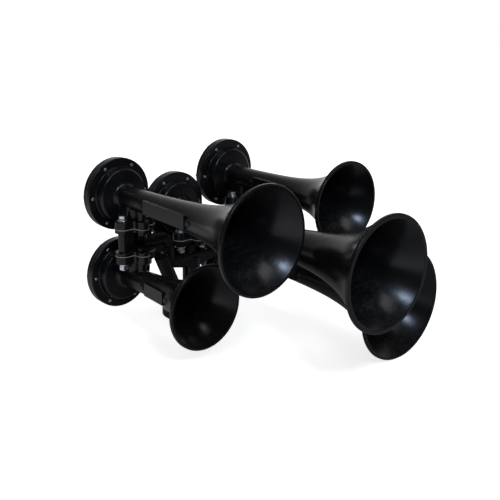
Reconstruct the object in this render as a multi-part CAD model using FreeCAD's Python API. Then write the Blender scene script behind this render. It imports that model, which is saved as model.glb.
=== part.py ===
import FreeCAD
import Part
import math
import os

from FreeCAD import Vector

# A five-bell train air horn, in millimetres
# The base stands on Z = 0 with its centre at the origin, and the bells point along -Y
# Along a horn, a station is the distance from the chamber's front face towards the mouth

# Where the horns lie
row_reach = 131.0
top_axis_height = 250.5
middle_axis_height = 204.3
foot_setback = 45.0
foot_drop = 49.5

# The five bells, each with the sizes that are its own
upper_left = {
    "name": "upper_left", "length": 382.0, "mouth_radius": 91.2, "lip": 5.0, "cone_rise": 9.0,
    "panel_length": 120.0,
}
lower_left = {
    "name": "lower_left", "length": 243.5, "mouth_radius": 76.3, "lip": 4.5, "cone_rise": 6.0,
    "panel_length": 60.0,
}
upper_right = {
    "name": "upper_right", "length": 319.0, "mouth_radius": 77.5, "lip": 4.0, "cone_rise": 4.0,
    "panel_length": 90.0,
}
middle = {
    "name": "middle", "length": 525.0, "mouth_radius": 97.2, "lip": 7.5, "cone_rise": 7.0,
    "panel_length": 120.0,
}
lower_right = {
    "name": "lower_right", "length": 453.0, "mouth_radius": 99.8, "lip": 4.0, "cone_rise": 7.0,
    "panel_length": 120.0,
}

# The bells' common form
throat_outer_radius = 18.5
throat_bore_radius = 14.0
flare_power = 6.6
rim_band = 5.0
rim_round = 1.8
curve_steps = 24
panel_start = 101.0
panel_height = 24.5
panel_raise = 2.5
panel_boss_radius = 5.0
panel_boss_round = 1.5
panel_boss_gap = 10.0

# The chamber housing at the rear of each bell
chamber_radius = 66.5
housing_flange = 8.0
shoulder_radius = 51.0
dome_radius = 48.0
dome_raise = 14.0
dome_slope = 3.5
dome_round = 4.5
collar_round = 9.0
shoulder_round = 2.0
edge_round = 1.5
air_space_radius = 44.0
air_space_front = 7.0
nozzle_boss_radius = 20.5
disc_recess_radius = 50.0

# The pieces between the housing and its cap
nozzle_bore_radius = 13.5
nozzle_radius = 17.0
nozzle_lip_radius = 19.5
nozzle_lip = 1.5
nozzle_socket_depth = 12.0
diaphragm_thickness = 0.6
diaphragm_lift = 0.4
diaphragm_seat_gap = 0.05
diaphragm_rear_gap = 0.45
disc_side_gap = 0.4
clamp_ring_thickness = 1.0
cap_gasket_thickness = 1.0
cap_gasket_inset = 0.5
cap_gasket_inner_radius = 47.0

# The cap
cap_radius = 66.0
cap_flange = 9.0
cap_hollow_depth = 2.5
cap_dome_radius = 45.0
cap_dome_raise = 5.0
cap_boss_radius = 13.0
cap_boss_raise = 3.0
cap_rib_width = 6.0
cap_rib_raise = 2.5
cap_rib_count = 6

# The screws round the cap
cap_screw_count = 6
cap_screw_circle_radius = 57.3
cap_screw_radius = 3.175
cap_screw_head_flats = 11.1
cap_screw_head_height = 4.4
cap_screw_end = 1.6

# The foot of each horn
foot_thickness = 13.5
ear_reach = 26.5
ear_radius = 14.5
tongue_reach = 23.5
tongue_radius = 11.5
waist_round = 5.0
front_screw_reach = 19.0
foot_rear_reach = 14.0
foot_rear_radius = 14.0
neck_half_width = 14.0
port_setback = 4.0
port_radius = 8.0
duct_radius = 6.5
duct_drop = 31.0
front_boss_radius = 8.0
front_web_width = 8.0
foot_gasket_thickness = 1.6
foot_gasket_overhang = 0.8

# Foot bolts
bolt_radius = 4.76
bolt_head_flats = 14.3
bolt_head_height = 6.2
bolt_end = 2.0
nut_height = 8.2
washer_radius = 10.3
washer_thickness = 2.0
lock_washer_radius = 8.6
lock_washer_thickness = 2.4
lock_washer_split = 1.5
front_screw_depth = 20.0

# The manifold that carries the horns
lip_thickness = 6.0
column_radius = 9.0
block_setback = 3.0
block_end_radius = 6.0
arm_setback = 1.5
arm_radius = 12.0
arm_bore_radius = 7.5
arm_bend_radius = 20.0
arm_rise = 14.5
arm_side_gap = 2.0
middle_ear_depth = 13.0
middle_column_radius = 12.0
hub_half_width = 14.0
hub_depth = 27.0
hub_end_depth = 18.5
hub_bore_radius = 5.5
hub_wall = 4.0
hub_round = 4.0
hub_bolt_gap = 1.5
post_radius = 17.0
post_bore_radius = 9.0
web_thickness = 8.0
web_drop = 17.0
brace_radius = 13.5
brace_top_reach = 72.0
brace_top_height = 130.0
brace_foot_reach = 17.5
gusset_gap = 1.0
gusset_thickness = 3.5
gusset_top_reach = 24.0

# The base
base_radius = 57.0
base_thickness = 13.0
base_cone_radius = 27.0
base_cone_height = 15.0
base_round = 3.0
base_hole_count = 4
base_hole_radius = 5.5
base_hole_circle_radius = 44.0
inlet_radius = 12.1
inlet_depth = 26.0

# Clearances
hole_clearance = 0.5
thread_clearance = 0.05
seat_clearance = 0.05
overrun = 4.0
edge_tolerance = 0.01

# Places worked out from the sizes
low_axis_height = lower_right["mouth_radius"]
top_gasket_height = top_axis_height - foot_drop
low_gasket_height = low_axis_height + foot_drop
middle_gasket_height = middle_axis_height - foot_drop
stack_top = top_gasket_height - foot_gasket_thickness
stack_bottom = low_gasket_height + foot_gasket_thickness
middle_pad_top = middle_gasket_height - foot_gasket_thickness
arm_height = stack_bottom + arm_rise
arm_leg_reach = ear_reach + ear_radius + arm_side_gap + arm_radius
hardware_depth = washer_thickness + lock_washer_thickness + nut_height + bolt_end
hub_top_height = middle_pad_top - middle_ear_depth - hardware_depth - hub_bolt_gap
hub_bottom_height = hub_top_height - hub_depth
hub_end_height = hub_top_height - hub_end_depth
hub_bore_height = hub_top_height - hub_wall - hub_bore_radius
web_reach = row_reach - ear_reach - ear_radius - arm_side_gap
bolt_hole_radius = bolt_radius + hole_clearance
thread_hole_radius = bolt_radius + thread_clearance
cap_screw_hole_radius = cap_screw_radius + hole_clearance
cap_gasket_station = -housing_flange - cap_gasket_thickness
cap_rear_station = cap_gasket_station - cap_flange
disc_space = diaphragm_seat_gap + diaphragm_thickness + diaphragm_lift + diaphragm_rear_gap
seat_station = disc_space + clamp_ring_thickness - housing_flange
nozzle_boss_station = seat_station + nozzle_lip
foot_face = -foot_drop + foot_thickness
casing_depth = duct_drop + duct_radius + neck_half_width - port_radius

across = Vector(1, 0, 0)
along = Vector(0, 1, 0)
upward = Vector(0, 0, 1)
origin = Vector(0, 0, 0)

upper_left.update(x=-row_reach, height=top_axis_height, upside_down=False)
lower_left.update(x=-row_reach, height=low_axis_height, upside_down=True)
upper_right.update(x=row_reach, height=top_axis_height, upside_down=False)
middle.update(x=0, height=middle_axis_height, upside_down=False)
lower_right.update(x=row_reach, height=low_axis_height, upside_down=True)
horns = (upper_left, lower_left, upper_right, middle, lower_right)


def turned(outline):
    # a solid of revolution round a horn's axis from (radius, station) points
    points = [Vector(radius, -station, 0) for radius, station in outline]
    face = Part.Face(Part.makePolygon(points + points[:1]))
    return face.revolve(origin, along, 360)


def upright_turned(outline):
    # the same round a vertical axis from (radius, height) points
    points = [Vector(radius, 0, height) for radius, height in outline]
    face = Part.Face(Part.makePolygon(points + points[:1]))
    return face.revolve(origin, upward, 360)


def rod(radius, start, end):
    path = end - start
    return Part.makeCylinder(radius, path.Length, start, path)


def round_edges(solid, radius, chosen):
    edges = [edge for edge in solid.Edges if chosen(edge)]
    return solid.makeFillet(radius, edges)


def circle_at(edge, radius, station):
    # true for a circle round a horn's axis with this radius at this station
    if not isinstance(edge.Curve, Part.Circle):
        return False
    same_radius = abs(edge.Curve.Radius - radius) < edge_tolerance
    return same_radius and abs(edge.Curve.Center.y + station) < edge_tolerance


def hull_outline(circles):
    # lines and arcs round a counterclockwise row of circles (x, y, radius)
    normals = []
    for index, (x, y, radius) in enumerate(circles):
        next_x, next_y, next_radius = circles[(index + 1) % len(circles)]
        run = math.hypot(next_x - x, next_y - y)
        heading = math.atan2(next_y - y, next_x - x)
        normals.append(heading - math.acos((radius - next_radius) / run))
    edges = []
    for index, (x, y, radius) in enumerate(circles):
        next_x, next_y, next_radius = circles[(index + 1) % len(circles)]
        before = normals[index - 1]
        after = normals[index]
        turn = (after - before) % (2 * math.pi)

        def on_circle(angle, centre_x=x, centre_y=y, r=radius):
            return Vector(centre_x + r * math.cos(angle), centre_y + r * math.sin(angle), 0)

        arc = Part.Arc(on_circle(before), on_circle(before + turn / 2), on_circle(after))
        leave = on_circle(after)
        reach = on_circle(after, next_x, next_y, next_radius)
        edges.append(arc.toShape())
        edges.append(Part.makeLine(leave, reach))
    return Part.Wire(edges)


def hull_prism(circles, bottom, height):
    prism = Part.Face(hull_outline(circles)).extrude(upward * height)
    prism.translate(upward * bottom)
    return prism


def pad(bottom, height, margin=0):
    # the foot's outline: two ears with a rounded rear, and a tongue to the front
    ears = hull_prism((
        (ear_reach, 0, ear_radius + margin),
        (0, foot_rear_reach, foot_rear_radius + margin),
        (-ear_reach, 0, ear_radius + margin),
    ), bottom, height)
    tongue = hull_prism((
        (0, -tongue_reach, tongue_radius + margin),
        (0, 0, tongue_radius + margin),
    ), bottom, height)
    side = tongue_radius + margin
    front = -ear_radius - margin

    def is_waist(edge):
        centre = edge.CenterOfMass
        beside = abs(abs(centre.x) - side) < edge_tolerance
        return beside and abs(centre.y - front) < edge_tolerance and edge.Length <= height + edge_tolerance

    return round_edges(ears.fuse(tongue).removeSplitter(), waist_round - margin, is_waist)


def block(bottom, height):
    # a column round each bolt and the wall between them, set back at the front
    wall = hull_prism((
        (ear_reach, block_end_radius - block_setback, block_end_radius),
        (0, foot_rear_reach, foot_rear_radius),
        (-ear_reach, block_end_radius - block_setback, block_end_radius),
    ), bottom, height)
    columns = [
        Part.makeCylinder(column_radius, height, Vector(x, 0, bottom), upward) for x in ear_places(0)]
    return wall.multiFuse(columns)


def hexagon(flats, height, bottom):
    corner = flats / math.sqrt(3)
    points = []
    for index in range(6):
        angle = math.radians(60 * index)
        points.append(Vector(corner * math.cos(angle), corner * math.sin(angle), bottom))
    prism = Part.Face(Part.makePolygon(points + points[:1])).extrude(upward * height)
    chamfer = corner - flats / 2
    cone_height = chamfer * math.tan(math.radians(30))
    profile = (
        (0, bottom - height),
        (corner + chamfer, bottom - height),
        (corner + chamfer, bottom + height - 2 * cone_height),
        (flats / 2, bottom + height),
        (0, bottom + height),
    )
    return prism.common(upright_turned(profile))


def horn_radius(station, start_radius, end_radius, rise, length):
    # a slow cone that opens into an exponential flare
    share = station / length
    flare = (math.exp(flare_power * share) - 1) / (math.exp(flare_power) - 1)
    return start_radius + rise * share + (end_radius - start_radius - rise) * flare


def outer_radius(horn, station):
    length = horn["length"] - rim_band
    return horn_radius(station, throat_outer_radius, horn["mouth_radius"], horn["cone_rise"], length)


def inner_radius(horn, station):
    end = horn["mouth_radius"] - horn["lip"]
    return horn_radius(station, throat_bore_radius, end, horn["cone_rise"], horn["length"])


def flare_edge(radius_at, horn, start, end):
    points = []
    for step in range(curve_steps + 1):
        station = start + (end - start) * step / curve_steps
        points.append(Vector(radius_at(horn, station), -station, 0))
    curve = Part.BSplineCurve()
    curve.interpolate(points)
    return curve.toShape(), points[0], points[-1]


def turned_bell(horn):
    # the outside of the bell, its throat and the front half of the chamber, without the hollow
    collar_station = dome_raise + dome_slope
    outer, outer_start, outer_end = flare_edge(
        outer_radius, horn, collar_station, horn["length"] - rim_band)
    corners = [
        outer_start,
        Vector(dome_radius, -dome_raise, 0),
        Vector(shoulder_radius, 0, 0),
        Vector(chamber_radius, 0, 0),
        Vector(chamber_radius, housing_flange, 0),
        Vector(0, housing_flange, 0),
        Vector(0, -horn["length"], 0),
        Vector(horn["mouth_radius"], -horn["length"], 0),
        outer_end,
    ]
    edges = [outer] + [Part.makeLine(a, b) for a, b in zip(corners[:-1], corners[1:])]
    bell = Part.Face(Part.Wire(Part.__sortEdges__(edges))).revolve(origin, along, 360)
    bell = round_edges(bell, collar_round, lambda edge: circle_at(edge, outer_start.x, collar_station))
    bell = round_edges(bell, dome_round, lambda edge: circle_at(edge, dome_radius, dome_raise))
    bell = round_edges(bell, shoulder_round, lambda edge: circle_at(edge, shoulder_radius, 0))
    return round_edges(bell, edge_round, lambda edge: circle_at(edge, chamber_radius, 0))


def bell_hollow(horn):
    # the bore and flare, the nozzle's socket, the air space round it and the disc's recess
    inner, inner_start, inner_end = flare_edge(
        inner_radius, horn, nozzle_socket_depth, horn["length"])
    socket_radius = nozzle_radius + seat_clearance
    corners = [
        inner_end,
        Vector(inner_end.x, -horn["length"] - overrun, 0),
        Vector(0, -horn["length"] - overrun, 0),
        Vector(0, housing_flange + overrun, 0),
        Vector(disc_recess_radius, housing_flange + overrun, 0),
        Vector(disc_recess_radius, -seat_station, 0),
        Vector(air_space_radius, -seat_station, 0),
        Vector(air_space_radius, -air_space_front, 0),
        Vector(nozzle_boss_radius, -air_space_front, 0),
        Vector(nozzle_boss_radius, -nozzle_boss_station, 0),
        Vector(socket_radius, -nozzle_boss_station, 0),
        Vector(socket_radius, -nozzle_socket_depth, 0),
        inner_start,
    ]
    edges = [inner] + [Part.makeLine(a, b) for a, b in zip(corners[:-1], corners[1:])]
    return Part.Face(Part.Wire(Part.__sortEdges__(edges))).revolve(origin, along, 360)


def foot(horn):
    # the flange, the neck up to the throat and the boss for the front screw
    flange = pad(-foot_drop, foot_thickness)
    neck_front = Part.makeCylinder(
        neck_half_width, foot_drop, Vector(0, port_setback, -foot_drop), upward)
    neck_length = foot_setback - dome_raise - port_setback
    neck_body = Part.makeBox(
        2 * neck_half_width, neck_length, casing_depth,
        Vector(-neck_half_width, port_setback, -casing_depth))
    boss = Part.makeCylinder(
        front_boss_radius, foot_drop, Vector(0, -front_screw_reach, -foot_drop), upward)
    web = Part.makeBox(
        front_web_width, front_screw_reach, foot_drop,
        Vector(-front_web_width / 2, -front_screw_reach, -foot_drop))
    body = flange.multiFuse([neck_front, neck_body, boss, web])
    body.translate(along * -foot_setback)
    return body


def side_panels(horn):
    # bare raised panels on both sides of the throat, with a round boss past each end
    panel_end = panel_start + horn["panel_length"]
    start_radius = outer_radius(horn, panel_start)
    end_radius = outer_radius(horn, panel_end)
    root = throat_outer_radius - throat_bore_radius
    corners = [
        Vector(start_radius - root, -panel_start, -panel_height / 2),
        Vector(start_radius + panel_raise, -panel_start, -panel_height / 2),
        Vector(end_radius + panel_raise, -panel_end, -panel_height / 2),
        Vector(end_radius - root, -panel_end, -panel_height / 2),
    ]
    panel = Part.Face(Part.makePolygon(corners + corners[:1])).extrude(upward * panel_height)
    pieces = [panel]
    for station in (panel_start - panel_boss_gap, panel_end + panel_boss_gap):
        surface = outer_radius(horn, station)
        boss = rod(
            panel_boss_radius,
            Vector(surface - root, -station, 0),
            Vector(surface + panel_raise, -station, 0))
        pieces.append(round_edges(boss, panel_boss_round, lambda edge: edge.CenterOfMass.x > surface))
    for piece in list(pieces):
        pieces.append(piece.mirror(origin, across))
    return pieces


def screw_places():
    for index in range(cap_screw_count):
        angle = math.radians(360 * index / cap_screw_count)
        yield cap_screw_circle_radius * Vector(math.cos(angle), 0, math.sin(angle))


def screw_holes(radius, rear_station, front_station):
    holes = []
    for place in screw_places():
        start = place + along * (overrun - rear_station)
        end = place - along * (front_station + overrun)
        holes.append(rod(radius, start, end))
    return holes


def bell_casting(horn):
    body = turned_bell(horn).multiFuse([foot(horn)] + side_panels(horn))
    port_y = port_setback - foot_setback
    port = rod(port_radius, Vector(0, port_y, -foot_drop - overrun), Vector(0, port_y, -duct_drop))
    duct = rod(duct_radius, Vector(0, port_y, -duct_drop), Vector(0, 0, -duct_drop))
    cuts = [bell_hollow(horn), port, duct]
    for x in (-ear_reach, ear_reach):
        cuts.append(rod(
            bolt_hole_radius,
            Vector(x, -foot_setback, -foot_drop - overrun),
            Vector(x, -foot_setback, foot_face + overrun)))
    front_y = -foot_setback - front_screw_reach
    cuts.append(rod(
        thread_hole_radius,
        Vector(0, front_y, -foot_drop - overrun),
        Vector(0, front_y, -foot_drop + front_screw_depth + bolt_end)))
    cuts += screw_holes(cap_screw_radius + thread_clearance, -housing_flange, 0)
    for cut in cuts:
        body = body.cut(cut)
    rim_radius = horn["mouth_radius"]
    return round_edges(body, rim_round, lambda edge: circle_at(edge, rim_radius, horn["length"])
                       or circle_at(edge, rim_radius - horn["lip"], horn["length"]))


def nozzle():
    # the ring that the diaphragm closes against, pressed into the casting's boss
    lip_front = nozzle_boss_station - seat_clearance
    front = nozzle_socket_depth - seat_clearance
    return turned((
        (nozzle_bore_radius, seat_station),
        (nozzle_lip_radius, seat_station),
        (nozzle_lip_radius, lip_front),
        (nozzle_radius, lip_front),
        (nozzle_radius, front),
        (nozzle_bore_radius, front),
    ))


def diaphragm():
    radius = disc_recess_radius - disc_side_gap
    front = seat_station - diaphragm_seat_gap
    rear = front - diaphragm_thickness
    return turned(((0, rear), (radius, rear), (radius, front), (0, front)))


def clamp_ring():
    radius = disc_recess_radius - disc_side_gap
    rear = -housing_flange
    front = rear + clamp_ring_thickness
    return turned((
        (air_space_radius, rear), (radius, rear), (radius, front), (air_space_radius, front)))


def cap_gasket():
    radius = chamber_radius - cap_gasket_inset
    ring = turned((
        (cap_gasket_inner_radius, cap_gasket_station),
        (radius, cap_gasket_station),
        (radius, -housing_flange),
        (cap_gasket_inner_radius, -housing_flange),
    ))
    return ring.cut(Part.makeCompound(
        screw_holes(cap_screw_hole_radius, cap_gasket_station, -housing_flange)))


def back_cap():
    dome_rear = cap_rear_station - cap_dome_raise
    boss_rear = dome_rear - cap_boss_raise
    hollow = cap_gasket_station - cap_hollow_depth
    cap = turned((
        (0, hollow),
        (air_space_radius, hollow),
        (air_space_radius, cap_gasket_station),
        (cap_radius, cap_gasket_station),
        (cap_radius, cap_rear_station),
        (cap_dome_radius, cap_rear_station),
        (cap_dome_radius, dome_rear),
        (cap_boss_radius, dome_rear),
        (cap_boss_radius, boss_rear),
        (0, boss_rear),
    ))
    ribs = []
    for index in range(cap_rib_count):
        rib = Part.makeBox(
            cap_dome_radius - shoulder_round, cap_rib_raise, cap_rib_width,
            Vector(0, -dome_rear, -cap_rib_width / 2))
        rib.rotate(origin, along, 360 * (index + 1 / 2) / cap_rib_count)
        ribs.append(rib)
    cap = round_edges(cap, shoulder_round, lambda edge: circle_at(edge, cap_dome_radius, dome_rear)
                      or circle_at(edge, cap_dome_radius, cap_rear_station))
    cap = round_edges(cap, edge_round, lambda edge: circle_at(edge, cap_radius, cap_rear_station)
                      or circle_at(edge, cap_boss_radius, boss_rear))
    cap = cap.multiFuse(ribs).removeSplitter()
    return cap.cut(Part.makeCompound(
        screw_holes(cap_screw_hole_radius, cap_rear_station, cap_gasket_station)))


def cap_screws():
    screws = []
    for place in screw_places():
        head = hexagon(cap_screw_head_flats, cap_screw_head_height, 0)
        head.rotate(origin, across, -90)
        head.translate(place - along * cap_rear_station)
        shank = rod(
            cap_screw_radius,
            place - along * cap_rear_station,
            place - along * cap_screw_end)
        screws.append(head.fuse(shank).removeSplitter())
    return Part.makeCompound(screws)


def foot_gasket():
    # cut a little larger than the foot, so that its edge shows
    gasket = pad(-foot_drop - foot_gasket_thickness, foot_gasket_thickness, foot_gasket_overhang)
    holes = [rod(
        port_radius,
        Vector(0, port_setback, -foot_drop - overrun),
        Vector(0, port_setback, -foot_drop + overrun))]
    for x, y in ((-ear_reach, 0), (ear_reach, 0), (0, -front_screw_reach)):
        holes.append(rod(
            bolt_hole_radius, Vector(x, y, -foot_drop - overrun), Vector(x, y, -foot_drop + overrun)))
    gasket = gasket.cut(Part.makeCompound(holes))
    gasket.translate(along * -foot_setback)
    return gasket


def placed(shape, horn):
    # from a horn's own frame to the whole object's
    shape = shape.copy()
    if horn["upside_down"]:
        shape.rotate(origin, along, 180)
    shape.translate(Vector(horn["x"], foot_setback, horn["height"]))
    return shape


def bolt(x, y, head_seat, end, pointing):
    # a hex bolt from its head's seat to its end, up or down
    length = abs(end - head_seat)
    head = hexagon(bolt_head_flats, bolt_head_height, 0)
    shank = rod(bolt_radius, origin, upward * -length)
    screw = head.fuse(shank).removeSplitter()
    if pointing > 0:
        screw.rotate(origin, across, 180)
    screw.translate(Vector(x, y, head_seat))
    return screw


def washer(x, y, bottom):
    disc = Part.makeCylinder(washer_radius, washer_thickness, Vector(x, y, bottom), upward)
    hole = Part.makeCylinder(bolt_hole_radius, washer_thickness, Vector(x, y, bottom), upward)
    return disc.cut(hole)


def nut(x, y, top):
    body = hexagon(bolt_head_flats, nut_height, 0)
    body.rotate(origin, across, 180)
    body = body.cut(rod(thread_hole_radius, upward * overrun, upward * -(nut_height + overrun)))
    body.translate(Vector(x, y, top))
    return body


def lock_washer(x, y, bottom):
    # a ring of spring steel with a split at its front
    disc = Part.makeCylinder(lock_washer_radius, lock_washer_thickness, Vector(x, y, bottom), upward)
    hole = Part.makeCylinder(bolt_hole_radius, lock_washer_thickness, Vector(x, y, bottom), upward)
    split = Part.makeBox(
        lock_washer_split, lock_washer_radius, lock_washer_thickness,
        Vector(x - lock_washer_split / 2, y - lock_washer_radius, bottom))
    return disc.cut(hole).cut(split)


def ear_places(x):
    return (x - ear_reach, x + ear_reach)


def bolt_stack(x, top_face, bottom_face):
    # two bolts from the foot above down to nuts under the last face, with washers at both ends
    bolts = []
    washers = []
    lock_washers = []
    nuts = []
    head_seat = top_face + washer_thickness + lock_washer_thickness
    nut_top = bottom_face - washer_thickness - lock_washer_thickness
    for place in ear_places(x):
        bolts.append(bolt(place, 0, head_seat, bottom_face - hardware_depth, -1))
        washers.append(washer(place, 0, top_face))
        washers.append(washer(place, 0, bottom_face - washer_thickness))
        lock_washers.append(lock_washer(place, 0, top_face + washer_thickness))
        lock_washers.append(lock_washer(place, 0, nut_top))
        nuts.append(nut(place, 0, nut_top))
    return bolts, washers, lock_washers, nuts


def front_screws():
    screws = []
    for x in (-row_reach, row_reach):
        screws.append(bolt(
            x, -front_screw_reach, stack_top - lip_thickness, top_gasket_height + front_screw_depth, 1))
        screws.append(bolt(
            x, -front_screw_reach, stack_bottom + lip_thickness, low_gasket_height - front_screw_depth, -1))
    screws.append(bolt(
        0, -front_screw_reach, middle_pad_top - lip_thickness, middle_gasket_height + front_screw_depth, 1))
    return Part.makeCompound(screws)


def stack(x):
    # the block between an upper and a lower foot
    lip_top = pad(stack_top - lip_thickness, lip_thickness)
    lip_bottom = pad(stack_bottom, lip_thickness)
    body = lip_top.multiFuse([lip_bottom, block(stack_bottom, stack_top - stack_bottom)])
    body.translate(across * x)
    return body


def arm(side, radius, outer_reach, foot_height):
    # from a stack towards the middle, round a bend and down to a ball end in the hub
    bend_reach = arm_leg_reach + arm_bend_radius
    bend_height = arm_height - arm_bend_radius
    foot_centre = Vector(arm_leg_reach, arm_setback, foot_height)
    leg_top = Vector(arm_leg_reach, arm_setback, bend_height)
    level = rod(
        radius,
        Vector(outer_reach, arm_setback, arm_height),
        Vector(bend_reach, arm_setback, arm_height))
    leg = rod(radius, leg_top, foot_centre)
    section = Part.Face(Part.Wire(Part.makeCircle(radius, leg_top, upward)))
    bend = section.revolve(leg_top + across * arm_bend_radius, along, 90)
    body = level.multiFuse([leg, bend, Part.makeSphere(radius, foot_centre)])
    if side < 0:
        body = body.mirror(origin, across)
    return body


def web(side):
    # the flat web in the corner between an arm, its leg and its brace
    front = arm_setback - web_thickness / 2
    outline = [
        (arm_leg_reach, arm_height),
        (web_reach, arm_height),
        (web_reach, arm_height - arm_radius - web_drop),
        (brace_top_reach, brace_top_height),
        (arm_leg_reach, hub_end_height),
    ]
    points = [Vector(side * reach, front, height) for reach, height in outline]
    return Part.Face(Part.makePolygon(points + points[:1])).extrude(along * web_thickness)


def brace(side):
    # the thick round strut from the base up to the web
    foot_end = Vector(side * brace_foot_reach, arm_setback, base_thickness / 2)
    top_end = Vector(side * brace_top_reach, arm_setback, brace_top_height)
    return rod(brace_radius, foot_end, top_end).fuse(Part.makeSphere(brace_radius, top_end))


def gusset():
    # the wall behind the middle horn's nuts, from the crossbar up to the pad
    front = washer_radius + gusset_gap
    outline = [
        (-arm_leg_reach, hub_bore_height),
        (arm_leg_reach, hub_bore_height),
        (arm_leg_reach, hub_top_height),
        (gusset_top_reach, middle_pad_top - lip_thickness / 2),
        (-gusset_top_reach, middle_pad_top - lip_thickness / 2),
        (-arm_leg_reach, hub_top_height),
    ]
    points = [Vector(x, front, height) for x, height in outline]
    return Part.Face(Part.makePolygon(points + points[:1])).extrude(along * gusset_thickness)


def middle_pad():
    # the raised pad for the middle horn
    lip = pad(middle_pad_top - lip_thickness, lip_thickness)
    ears = block(middle_pad_top - middle_ear_depth, middle_ear_depth)
    column = rod(
        middle_column_radius,
        Vector(0, port_setback, middle_pad_top - middle_ear_depth),
        Vector(0, port_setback, hub_bore_height))
    return lip.multiFuse([ears, column])


def hub():
    # the crossbar between the arms' legs, deepest over the post
    outline = [
        (-arm_leg_reach, hub_top_height),
        (-arm_leg_reach, hub_end_height),
        (-post_radius, hub_bottom_height),
        (post_radius, hub_bottom_height),
        (arm_leg_reach, hub_end_height),
        (arm_leg_reach, hub_top_height),
    ]
    points = [Vector(x, arm_setback - hub_half_width, height) for x, height in outline]
    bar = Part.Face(Part.makePolygon(points + points[:1])).extrude(along * 2 * hub_half_width)
    return bar.makeFillet(hub_round, bar.Edges)


def base():
    flange = upright_turned((
        (0, 0),
        (base_radius, 0),
        (base_radius, base_thickness),
        (base_cone_radius, base_thickness),
        (post_radius, base_thickness + base_cone_height),
        (post_radius, hub_bore_height),
        (0, hub_bore_height),
    ))
    top_edge = [edge for edge in flange.Edges if isinstance(edge.Curve, Part.Circle)
                and abs(edge.Curve.Radius - base_radius) < edge_tolerance
                and abs(edge.Curve.Center.z - base_thickness) < edge_tolerance]
    return flange.makeFillet(base_round, top_edge)


def base_holes():
    holes = []
    for index in range(base_hole_count):
        angle = math.radians(360 * (index + 1 / 2) / base_hole_count)
        place = base_hole_circle_radius * Vector(math.cos(angle), math.sin(angle), 0)
        top = place + upward * (base_thickness + overrun)
        holes.append(rod(base_hole_radius, place - upward * overrun, top))
    return holes


def air_passages():
    # the inlet in the base, up the post, along the hub, through both arms and to every port
    passages = [
        rod(inlet_radius, upward * -overrun, upward * inlet_depth),
        rod(post_bore_radius, origin, upward * hub_bore_height),
        rod(hub_bore_radius, Vector(-arm_leg_reach, arm_setback, hub_bore_height),
            Vector(arm_leg_reach, arm_setback, hub_bore_height)),
        rod(port_radius, Vector(0, port_setback, hub_bore_height),
            Vector(0, port_setback, middle_pad_top + overrun)),
    ]
    for side in (-1, 1):
        passages.append(arm(
            side, arm_bore_radius, row_reach, hub_bore_height + arm_bore_radius - hub_bore_radius))
        passages.append(rod(
            port_radius,
            Vector(side * row_reach, port_setback, stack_bottom - overrun),
            Vector(side * row_reach, port_setback, stack_top + overrun)))
    return passages


def manifold_bolt_holes():
    holes = []
    for x in ear_places(-row_reach) + ear_places(row_reach):
        holes.append(rod(
            bolt_hole_radius,
            Vector(x, 0, stack_bottom - overrun),
            Vector(x, 0, stack_top + overrun)))
    for x in ear_places(0):
        holes.append(rod(
            bolt_hole_radius,
            Vector(x, 0, middle_pad_top - middle_ear_depth - overrun),
            Vector(x, 0, middle_pad_top + overrun)))
    for x, top in ((-row_reach, stack_top), (row_reach, stack_top), (0, middle_pad_top)):
        holes.append(rod(
            bolt_hole_radius,
            Vector(x, -front_screw_reach, top - lip_thickness - overrun),
            Vector(x, -front_screw_reach, top + overrun)))
    for x in (-row_reach, row_reach):
        holes.append(rod(
            bolt_hole_radius,
            Vector(x, -front_screw_reach, stack_bottom - overrun),
            Vector(x, -front_screw_reach, stack_bottom + lip_thickness + overrun)))
    return holes


def manifold():
    pieces = [middle_pad(), hub(), base(), gusset()]
    for side in (-1, 1):
        pieces.append(stack(side * row_reach))
        pieces.append(arm(side, arm_radius, row_reach - neck_half_width, hub_end_height + arm_radius))
        pieces.append(web(side))
        pieces.append(brace(side))
    body = pieces[0].multiFuse(pieces[1:])
    cuts = air_passages() + manifold_bolt_holes() + base_holes()
    for cut in cuts:
        body = body.cut(cut)
    return body.removeSplitter()


def build():
    nodes = {"manifold": manifold(), "front_screws": front_screws()}
    for horn in horns:
        name = horn["name"]
        nodes["bell_" + name] = placed(bell_casting(horn), horn)
        nodes["back_cap_" + name] = placed(back_cap(), horn)
        nodes["cap_gasket_" + name] = placed(cap_gasket(), horn)
        nodes["clamp_ring_" + name] = placed(clamp_ring(), horn)
        nodes["diaphragm_" + name] = placed(diaphragm(), horn)
        nodes["nozzle_" + name] = placed(nozzle(), horn)
        nodes["cap_screws_" + name] = placed(cap_screws(), horn)
        nodes["foot_gasket_" + name] = placed(foot_gasket(), horn)
    stacks = (
        ("left", -row_reach, top_gasket_height + foot_thickness, low_gasket_height - foot_thickness),
        ("right", row_reach, top_gasket_height + foot_thickness, low_gasket_height - foot_thickness),
        ("middle", 0, middle_gasket_height + foot_thickness, middle_pad_top - middle_ear_depth),
    )
    washers = []
    lock_washers = []
    nuts = []
    for name, x, top_face, bottom_face in stacks:
        bolts, more_washers, more_lock_washers, more_nuts = bolt_stack(x, top_face, bottom_face)
        nodes["foot_bolts_" + name] = Part.makeCompound(bolts)
        washers += more_washers
        lock_washers += more_lock_washers
        nuts += more_nuts
    nodes["foot_washers"] = Part.makeCompound(washers)
    nodes["foot_lock_washers"] = Part.makeCompound(lock_washers)
    nodes["foot_nuts"] = Part.makeCompound(nuts)
    return nodes


os.makedirs("parts", exist_ok=True)
for node, shape in build().items():
    shape.exportStep("parts/" + node + ".step")
    print(node, len(shape.Solids), round(shape.Volume), shape.isValid())
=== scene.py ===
import math

import bpy
from mathutils import Matrix, Vector


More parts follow.
